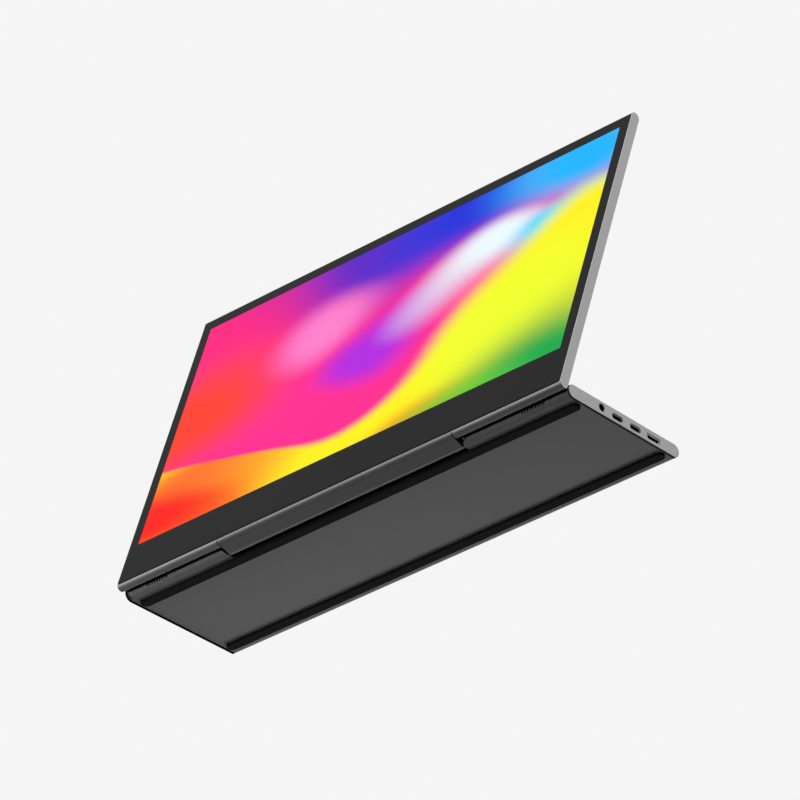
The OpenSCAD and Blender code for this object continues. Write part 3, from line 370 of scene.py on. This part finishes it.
def mouldedPlastic(name, colour, roughness, grainMm, depthMm, specular=0.5):
    # a spark-eroded mould leaves an even, shallow grain that breaks up the gloss
    material, tree, place = newMaterial(name, colour)
    grain = addNode(tree, "TexNoise", Vector=place, Scale=1 / (grainMm * mm), Detail=2.0,
                    Roughness=0.6).outputs["Fac"]
    cloud = addNode(tree, "TexNoise", Vector=place, Scale=22.0, Detail=2.0).outputs["Fac"]
    level = addNode(tree, "MapRange", Value=cloud, i3=0.96, i4=1.04).outputs[0]
    tone = addNode(tree, "HueSaturation", Color=linear(colour), Value=level).outputs[0]
    gloss = addNode(tree, "MapRange", Value=grain, i3=roughness - 0.05, i4=roughness + 0.05).outputs[0]
    relief = addNode(tree, "Bump", Height=grain, Strength=0.5, Distance=depthMm * mm).outputs[0]
    shader = addNode(tree, "BsdfPrincipled", Base_Color=tone, Roughness=gloss, Specular_IOR_Level=specular,
                     Normal=relief)
    addNode(tree, "OutputMaterial", Surface=shader.outputs[0])
    return material


# silicone rubber, pressed: dull black feet with a light bloom
feet = {"colour": "#262626", "bloom": "#2B2B2B", "roughness": 0.85, "grainMm": 0.5}


def pressedRubber():
    s = feet
    material, tree, place = newMaterial("pressedRubber", s["colour"])
    grain = addNode(tree, "TexNoise", Vector=place, Scale=1 / (s["grainMm"] * mm), Detail=4.0).outputs["Fac"]
    bloom = addNode(tree, "TexNoise", Vector=place, Scale=30.0, Detail=3.0).outputs["Fac"]
    share = addNode(tree, "MapRange", Value=bloom, i1=0.35, i2=0.75).outputs[0]
    tone = addNode(tree, "Mix", {"data_type": "RGBA"}, i0=share, i6=linear(s["colour"]),
                   i7=linear(s["bloom"])).outputs[2]
    relief = addNode(tree, "Bump", Height=grain, Strength=0.5, Distance=0.03 * mm).outputs[0]
    shader = addNode(tree, "BsdfPrincipled", Base_Color=tone, Roughness=s["roughness"], Specular_IOR_Level=0.06,
                     Normal=relief)
    addNode(tree, "OutputMaterial", Surface=shader.outputs[0])
    return material


rubber = pressedRubber()
give(rubber, "front_foot", "rear_foot", "closing_bumpers")

# painted shade: a small block of the dark rubber fills each rounded corner of the notch, under the top skin, where
# there is only shade, mm
shadeBlock = {
    "inner": 95.75, "low": 6.95,
    "front": -45.439, "long": 3.85, "rings": 13,
    "cornerX": 100.15, "cornerY": -41.314, "cornerR": 4.56,  # the corner's round, seen from above
    "noseR": 4.12,
    "least": 0.04,
}


# painted shade: the dark block for one corner of the notch
def cornerShadeBlock(side):
    s = shadeBlock
    y0, z0 = paintedShadeAreas["noseAxis"]
    build = bmesh.new()
    rings = []
    for i in range(s["rings"]):
        y = s["front"] + s["long"] * i / (s["rings"] - 1)
        outer = s["cornerX"] - math.sqrt(s["cornerR"] ** 2 - (s["cornerY"] - y) ** 2)
        outer = max(outer, s["inner"] + s["least"])
        top = z0 + math.sqrt(max(s["noseR"] ** 2 - (y - y0) ** 2, 0.0))
        top = max(top, s["low"] + s["least"])
        ring = [(s["inner"], s["low"]), (outer, s["low"]), (outer, top), (s["inner"], top)]
        rings.append([build.verts.new((side * x * mm, y * mm, z * mm)) for x, z in ring])
    for a, b in zip(rings, rings[1:]):
        for i in range(4):
            build.faces.new([a[i], a[(i + 1) % 4], b[(i + 1) % 4], b[i]])
    build.faces.new(rings[0])
    build.faces.new(rings[-1])
    bmesh.ops.recalc_face_normals(build, faces=build.faces)
    data = bpy.data.meshes.new("cornerShadeBlock")
    build.to_mesh(data)
    build.free()
    data.materials.append(rubber)
    piece = bpy.data.objects.new("cornerShadeBlock", data)
    scene.collection.objects.link(piece)
    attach(piece, "base")


cornerShadeBlock(-1)
cornerShadeBlock(1)

# ABS, injection moulded and deep black: a thin matt outline round the end faces
give(mouldedPlastic("blackTrimAbs", "#0C0C0C", 0.55, 0.3, 0.01, 0.06), "left_trim", "right_trim")
# glass-filled nylon, injection moulded: the jack's mouth reads as a black hole
give(mouldedPlastic("jackNylon", "#060606", 0.55, 0.25, 0.01, 0.05), "audio_jack")
# ABS, injection moulded: satin black boxes
give(mouldedPlastic("speakerAbs", "#18181A", 0.5, 0.35, 0.02), "left_speaker", "right_speaker")
# nylon, injection moulded: small and slightly glossy
give(mouldedPlastic("switchNylon", "#242427", 0.4, 0.2, 0.01), "key_switches")
# ABS with white pigment, injection moulded: it throws the lamps' light back
give(mouldedPlastic("frameAbs", "#EDEDEB", 0.45, 0.35, 0.01), "panel_frame")

# polyamide yarn, plain woven and dyed black: the dust mesh behind the slots
weave = {"low": "#020202", "high": "#0C0C0C", "threadMm": 0.5}


def wovenMesh():
    s = weave
    material, tree, place = newMaterial("wovenMesh", s["high"])
    turn = 0.157 / (s["threadMm"] * mm)
    across = addNode(tree, "TexWave", {"bands_direction": "X"}, Vector=place, Scale=turn).outputs["Fac"]
    along = addNode(tree, "TexWave", {"bands_direction": "Z"}, Vector=place, Scale=turn).outputs["Fac"]
    high = addNode(tree, "Math", {"operation": "MAXIMUM"}, i0=across, i1=along).outputs[0]
    share = addNode(tree, "MapRange", Value=high, i1=0.3, i2=0.8).outputs[0]
    tone = addNode(tree, "Mix", {"data_type": "RGBA"}, i0=share, i6=linear(s["low"]), i7=linear(s["high"])).outputs[2]
    relief = addNode(tree, "Bump", Height=high, Strength=0.8, Distance=0.12 * mm).outputs[0]
    shader = addNode(tree, "BsdfPrincipled", Base_Color=tone, Roughness=0.85, Specular_IOR_Level=0.05, Normal=relief)
    addNode(tree, "OutputMaterial", Surface=shader.outputs[0])
    return material


give(wovenMesh(), "left_slot_mesh", "right_slot_mesh")

# polyurethane jacket, extruded: satin black with fine drawing lines along the cable
give(mouldedPlastic("cableJacket", "#141416", 0.42, 0.4, 0.01), "display_cable", "base_cable")

print("glass and panel")

def frontAt(z):  # depth of the front of the display at a height, mm
    r = display["thick"] / 2
    over = max(z - display["roundTop"], -z, 0.0)
    return r - math.sqrt(max(r * r - over * over, 0.0))


def roundedRectangle(x0, x1, z0, z1, radii, steps=8):  # corner radii: low left, low right, top right, top left
    corners = [(x0, z0, radii[0], 180), (x1, z0, radii[1], 270), (x1, z1, radii[2], 0), (x0, z1, radii[3], 90)]
    points = []
    for x, z, r, start in corners:
        if r <= 0:
            points.append((x, z))
            continue
        cx = x + (r if x == x0 else -r)
        cz = z + (r if z == z0 else -r)
        for i in range(steps + 1):
            a = math.radians(start + 90 * i / steps)
            points.append((cx + r * math.cos(a), cz + r * math.sin(a)))
    return points


def isInside(x, z, loop):
    hit = False
    for (ax, az), (bx, bz) in zip(loop, loop[1:] + loop[:1]):
        if (az > z) != (bz > z) and x < ax + (z - az) * (bx - ax) / (bz - az):
            hit = not hit
    return hit


def displayPlate(name, outer, hole, levels, back):
    # a sheet that follows the display's front: outer and hole outlines in X and Z, rows at the levels, all in mm
    loops = [outer] + ([hole] if hole else [])
    points, edges = [], []
    for loop in loops:
        first = len(points)
        points += [Vector(p) for p in loop]
        edges += [(first + i, first + (i + 1) % len(loop)) for i in range(len(loop))]
    xs = [p.x for p in points]
    zs = [p.y for p in points]
    low = Vector((min(xs), min(zs)))
    high = Vector((max(xs), max(zs)))
    for level in levels:
        first = len(points)
        points += [Vector((low.x - 1, level)), Vector((high.x + 1, level))]
        edges.append((first, first + 1))
    flat, _, faces, _, _, _ = geometry.delaunay_2d_cdt(points, edges, [], 0, 1e-5)
    build = bmesh.new()
    front = {}
    rear = {}
    border = set()
    for face in faces:
        x = sum(flat[i].x for i in face) / len(face)
        z = sum(flat[i].y for i in face) / len(face)
        if not isInside(x, z, outer) or (hole and isInside(x, z, hole)):
            continue
        for i in face:
            if i not in front:
                x, z = flat[i]
                front[i] = build.verts.new((x * mm, frontAt(z) * mm, z * mm))
                rear[i] = build.verts.new((x * mm, back * mm, z * mm))
        build.faces.new([front[i] for i in face])
        build.faces.new([rear[i] for i in reversed(face)])
        for pair in zip(face, face[1:] + face[:1]):
            border.add(pair)
    for a, b in border:
        if (b, a) not in border:
            build.faces.new([front[b], front[a], rear[a], rear[b]])
    bmesh.ops.remove_doubles(build, verts=build.verts, dist=1e-7)
    bmesh.ops.dissolve_degenerate(build, edges=build.edges, dist=1e-7)
    bmesh.ops.recalc_face_normals(build, faces=build.faces)
    uv = build.loops.layers.uv.new("uv")
    for face in build.faces:
        for loop in face.loops:
            co = loop.vert.co / mm
            loop[uv].uv = ((co.x - low.x) / (high.x - low.x), (co.z - low.y) / (high.y - low.y))
    data = bpy.data.meshes.new(name)
    build.to_mesh(data)
    build.free()
    data.transform(toDisplay)
    piece = bpy.data.objects.new(name, data)
    scene.collection.objects.link(piece)
    return piece


# cover glass, toughened and screen printed: a near-black border under an anti-reflective coat
glass = {
    # the edge colour is painted shade along the sides of the glass
    "colour": "#181819", "edge": "#030303", "edgeMm": 0.45, "edgeFadeMm": 0.1,
    "inkMm": 2.0, "rippleScale": 18.0,
    "roughness": 0.15, "ior": 1.5, "specular": 0.03,
    "low": -1.5, "top": 233.8, "side": 179.65, "corner": 1.5,
    "litLow": 29.9, "litTop": 223.5, "litSide": 172.1,
    "back": 0.9,
    "lowRows": [-1.2, -0.9, -0.6, -0.3, 0.0], "topRows": 8,  # rows where the front bends
}


def printedGlass():
    s = glass
    material, tree, place = newMaterial("printedGlass", s["colour"])
    ink = addNode(tree, "TexNoise", Vector=place, Scale=1 / (s["inkMm"] * mm), Detail=2.0).outputs["Fac"]
    level = addNode(tree, "MapRange", Value=ink, i3=0.98, i4=1.02).outputs[0]
    tone = addNode(tree, "HueSaturation", Color=linear(s["colour"]), Value=level).outputs[0]
    # painted shade: the side edges of the glass are painted darker than the print, as the gap beside them lies in
    # shadow
    across = addNode(tree, "SeparateXYZ", Vector=place).outputs["X"]
    side = addNode(tree, "Math", {"operation": "ABSOLUTE"}, i0=across).outputs[0]
    gapShadeFrom = s["side"] - s["edgeMm"]
    rim = addNode(tree, "MapRange", Value=side, i1=gapShadeFrom * mm, i2=(gapShadeFrom + s["edgeFadeMm"]) * mm).outputs[0]
    tone = addNode(tree, "Mix", {"data_type": "RGBA"}, i0=rim, i6=tone, i7=linear(s["edge"])).outputs[2]
    ripple = addNode(tree, "TexNoise", Vector=place, Scale=s["rippleScale"], Detail=1.0).outputs["Fac"]
    relief = addNode(tree, "Bump", Height=ripple, Strength=0.3, Distance=0.02 * mm).outputs[0]
    shader = addNode(tree, "BsdfPrincipled", Base_Color=tone, Roughness=s["roughness"], IOR=s["ior"],
                     Specular_IOR_Level=s["specular"], Normal=relief)
    addNode(tree, "OutputMaterial", Surface=shader.outputs[0])
    return material


def coverGlass():
    s = glass
    lit = roundedRectangle(-s["litSide"], s["litSide"], s["litLow"], s["litTop"], (0, 0, 0, 0))
    outer = roundedRectangle(-s["side"], s["side"], s["low"], s["top"], (s["corner"], s["corner"], 0, 0))
    bend = s["top"] - display["roundTop"]
    rows = s["lowRows"] + [display["roundTop"] + bend * i / s["topRows"] for i in range(s["topRows"])]
    border = displayPlate("glassBorder", outer, lit, rows, s["back"])
    border.data.materials.append(printedGlass())
    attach(border, "display")
    pane = displayPlate("litPane", lit, None, [], s["back"])
    pane.data.materials.append(litPicture())
    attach(pane, "display")
    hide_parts("front_glass")


# the lit picture: soft sheets of colour, two layers parted by one long curve
picture = {
    "strength": 1.0,
    "black": "#050505",
    "driftScale": 1.7, "drift": 0.34,  # how the sheets are bent
    "waves": 5.2, "phase": 2.7, "waveHigh": 0.2, "rise": 0.2, "start": 0.27,  # the long curve
    "softFrom": (0.15, 0.95), "soft": (0.025, 0.22),  # its edge is crisp at the left and soft at the right
    "blobCore": 0.12,  # share of a blob's reach that has its full colour
    "backColour": "#FF1F8F",
    "backBlobs": [  # place across and up, reach, colour
        ((0.05, 1.05), 0.60, "#FF0F7B"),
        ((0.38, 1.05), 0.50, "#5B14C4"),
        ((0.68, 1.00), 0.46, "#1226D8"),
        ((1.02, 0.92), 0.42, "#00B4FF"),
        ((0.00, 0.48), 0.40, "#FF3A26"),
        ((0.30, 0.72), 0.22, "#FF7CCB"),
        ((0.52, 0.52), 0.20, "#B01CE0"),
        ((0.70, 0.64), 0.21, "#EAF9FF"),
        ((0.84, 0.56), 0.16, "#37DCFF"),
        ((1.00, 0.55), 0.24, "#00D2FA"),
    ],
    "frontColour": "#FFF100",
    "frontBlobs": [
        ((0.02, 0.02), 0.42, "#FF1408"),
        ((0.22, 0.18), 0.22, "#FF6A20"),
        ((0.50, 0.10), 0.40, "#FFF200"),
        ((0.66, 0.02), 0.20, "#FF9A00"),
        ((0.80, 0.30), 0.30, "#F0FF1E"),
        ((0.98, -0.05), 0.46, "#00A848"),
        ((0.72, -0.10), 0.30, "#5FD41A"),
    ],
}


def litPicture():
    s = picture
    material, tree, _ = newMaterial("litPicture", s["black"])
    uv = addNode(tree, "TexCoord").outputs["UV"]
    # the domain is bent a little, so that the sheets flow
    drift = addNode(tree, "TexNoise", {"noise_dimensions": "2D"}, Vector=uv, Scale=s["driftScale"],
                    Detail=0.0).outputs["Color"]
    half = s["drift"] / 2
    centred = addNode(tree, "VectorMath", {"operation": "ADD"}, i0=uv, i1=(-half, -half, 0.0)).outputs[0]
    bent = addNode(tree, "VectorMath", {"operation": "MULTIPLY_ADD"}, i0=drift, i1=(s["drift"], s["drift"], 0.0),
                   i2=centred).outputs[0]
    sheets = []
    for first, blobs in ((s["frontColour"], s["frontBlobs"]), (s["backColour"], s["backBlobs"])):
        colour = linear(first)
        for (u, v), reach, hexColour in blobs:
            far = addNode(tree, "VectorMath", {"operation": "DISTANCE"}, i0=bent, i1=(u, v, 0.0)).outputs["Value"]
            share = addNode(tree, "MapRange", {"interpolation_type": "SMOOTHERSTEP"}, Value=far, i1=reach,
                            i2=reach * s["blobCore"], i3=0.0, i4=1.0).outputs[0]
            colour = addNode(tree, "Mix", {"data_type": "RGBA"}, i0=share, i6=colour,
                             i7=linear(hexColour)).outputs[2]
        sheets.append(colour)
    split = addNode(tree, "SeparateXYZ", Vector=bent).outputs
    phase = addNode(tree, "Math", {"operation": "MULTIPLY_ADD"}, i0=split["X"], i1=s["waves"],
                    i2=s["phase"]).outputs[0]
    wave = addNode(tree, "Math", {"operation": "SINE"}, i0=phase).outputs[0]
    rise = addNode(tree, "Math", {"operation": "MULTIPLY_ADD"}, i0=split["X"], i1=s["rise"],
                   i2=s["start"]).outputs[0]
    curve = addNode(tree, "Math", {"operation": "MULTIPLY_ADD"}, i0=wave, i1=s["waveHigh"], i2=rise).outputs[0]
    above = addNode(tree, "Math", {"operation": "SUBTRACT"}, i0=split["Y"], i1=curve).outputs[0]
    softness = addNode(tree, "MapRange", {"interpolation_type": "SMOOTHSTEP"}, Value=split["X"],
                       i1=s["softFrom"][0], i2=s["softFrom"][1], i3=s["soft"][0], i4=s["soft"][1]).outputs[0]
    ratio = addNode(tree, "Math", {"operation": "DIVIDE"}, i0=above, i1=softness).outputs[0]
    mask = addNode(tree, "MapRange", {"interpolation_type": "SMOOTHERSTEP"}, Value=ratio, i1=-0.5,
                   i2=0.5).outputs[0]
    whole = addNode(tree, "Mix", {"data_type": "RGBA"}, i0=mask, i6=sheets[0], i7=sheets[1]).outputs[2]
    shader = addNode(tree, "BsdfPrincipled", Base_Color=linear(s["black"]), Roughness=glass["roughness"],
                     IOR=glass["ior"], Specular_IOR_Level=glass["specular"], Emission_Color=whole,
                     Emission_Strength=s["strength"])
    addNode(tree, "OutputMaterial", Surface=shader.outputs[0])
    return material


coverGlass()


# glass cell between polarisers, laminated: a smooth blue-black sheet
cell = {"colour": "#15161A", "roughness": 0.15, "specular": 0.4, "rippleScale": 30.0, "depthMm": 0.01}
# acrylic sheet, cast and screen printed: clear, with white dots
guide = {"colour": "#E4ECF0", "dot": "#FFFFFF", "sheet": "#DDE7EC", "roughness": 0.2,
         "pitchMm": 1.2}  # real pitch is about 0.5 mm


def cellGlass():
    s = cell
    material, tree, place = newMaterial("cellGlass", s["colour"])
    ripple = addNode(tree, "TexNoise", Vector=place, Scale=s["rippleScale"]).outputs["Fac"]
    relief = addNode(tree, "Bump", Height=ripple, Strength=0.2, Distance=s["depthMm"] * mm).outputs[0]
    shader = addNode(tree, "BsdfPrincipled", Base_Color=linear(s["colour"]), Roughness=s["roughness"],
                     Specular_IOR_Level=s["specular"], Normal=relief)
    addNode(tree, "OutputMaterial", Surface=shader.outputs[0])
    return material


def dottedGuide():
    s = guide
    material, tree, place = newMaterial("dottedGuide", s["colour"])
    dots = addNode(tree, "TexVoronoi", Vector=place, Scale=1 / (s["pitchMm"] * mm)).outputs["Distance"]
    share = addNode(tree, "MapRange", Value=dots, i1=0.25, i2=0.35).outputs[0]
    tone = addNode(tree, "Mix", {"data_type": "RGBA"}, i0=share, i6=linear(s["dot"]),
                   i7=linear(s["sheet"])).outputs[2]
    shader = addNode(tree, "BsdfPrincipled", Base_Color=tone, Roughness=s["roughness"])
    addNode(tree, "OutputMaterial", Surface=shader.outputs[0])
    return material


give(cellGlass(), "lcd_cell")
give(dottedGuide(), "light_guide")
# polyester film, frosted by rolling: milky white
give(mouldedPlastic("frostedFilm", "#F3F3F0", 0.6, 0.15, 0.01), "diffuser_sheets")
# polyester film, filled and foamed: the whitest sheet of the stack
give(mouldedPlastic("reflectorFilm", "#FAFAFA", 0.55, 0.1, 0.005), "reflector_sheet")
# silicone with phosphor, cast over the lamps: pale yellow
give(mouldedPlastic("lampStrip", "#E6DFB4", 0.5, 0.4, 0.02), "led_strip")
# polyethylene foam, closed-cell: dull grey-black with open pores at its cut faces
give(mouldedPlastic("foamTape", "#2B2C2E", 0.95, 0.6, 0.12, 0.1), "mounting_tapes")

print("boards")

# fibreglass board, solder masked and printed: dark green with copper tracks under the lacquer
board = {
    "mask": "#17492E", "second": "#1B5234", "track": "#2A6A42", "pad": "#B9A25A",
    "pitchMm": 1.4, "padMm": 2.6, "trackDepthMm": 0.03, "roughness": 0.35,
}
# polyimide film, laminated over copper: amber, with dark lines beneath the gloss
flex = {"colour": "#A8662C", "line": "#8E4E1E", "film": "#BC7836", "lineScale": 0.157, "depthMm": 0.02,
        "roughness": 0.35}


def solderMask():
    s = board
    material, tree, place = newMaterial("solderMask", s["mask"])
    cells = addNode(tree, "TexBrick", {"offset": 0.5}, Vector=place, Scale=1 / (s["pitchMm"] * mm),
                    Color1=linear(s["mask"]), Color2=linear(s["second"]), Mortar=linear(s["track"]),
                    Mortar_Size=0.08).outputs
    pads = addNode(tree, "TexVoronoi", Vector=place, Scale=1 / (s["padMm"] * mm), Randomness=0.6).outputs["Distance"]
    share = addNode(tree, "MapRange", Value=pads, i1=0.12, i2=0.1).outputs[0]
    tone = addNode(tree, "Mix", {"data_type": "RGBA"}, i0=share, i6=cells["Color"], i7=linear(s["pad"])).outputs[2]
    relief = addNode(tree, "Bump", Height=cells["Fac"], Strength=0.4, Distance=s["trackDepthMm"] * mm).outputs[0]
    shader = addNode(tree, "BsdfPrincipled", Base_Color=tone, Roughness=s["roughness"], Coat_Weight=0.4,
                     Coat_Roughness=0.2, Normal=relief)
    addNode(tree, "OutputMaterial", Surface=shader.outputs[0])
    return material


def polyimideFlex():
    s = flex
    material, tree, place = newMaterial("polyimideFlex", s["colour"])
    lines = addNode(tree, "TexWave", {"bands_direction": "DIAGONAL"}, Vector=place,
                    Scale=s["lineScale"] / mm).outputs["Fac"]
    share = addNode(tree, "MapRange", Value=lines, i1=0.35, i2=0.6).outputs[0]
    tone = addNode(tree, "Mix", {"data_type": "RGBA"}, i0=share, i6=linear(s["line"]),
                   i7=linear(s["film"])).outputs[2]
    relief = addNode(tree, "Bump", Height=lines, Strength=0.4, Distance=s["depthMm"] * mm).outputs[0]
    shader = addNode(tree, "BsdfPrincipled", Base_Color=tone, Roughness=s["roughness"], Coat_Weight=0.3,
                     Normal=relief)
    addNode(tree, "OutputMaterial", Surface=shader.outputs[0])
    return material


give(solderMask(), "main_board", "driver_board", "key_board")
give(polyimideFlex(), "panel_flexes", "key_flex")
# epoxy, transfer moulded round the chips: flat black
give(mouldedPlastic("chipEpoxy", "#1A1A1D", 0.55, 0.12, 0.02), "board_chips")
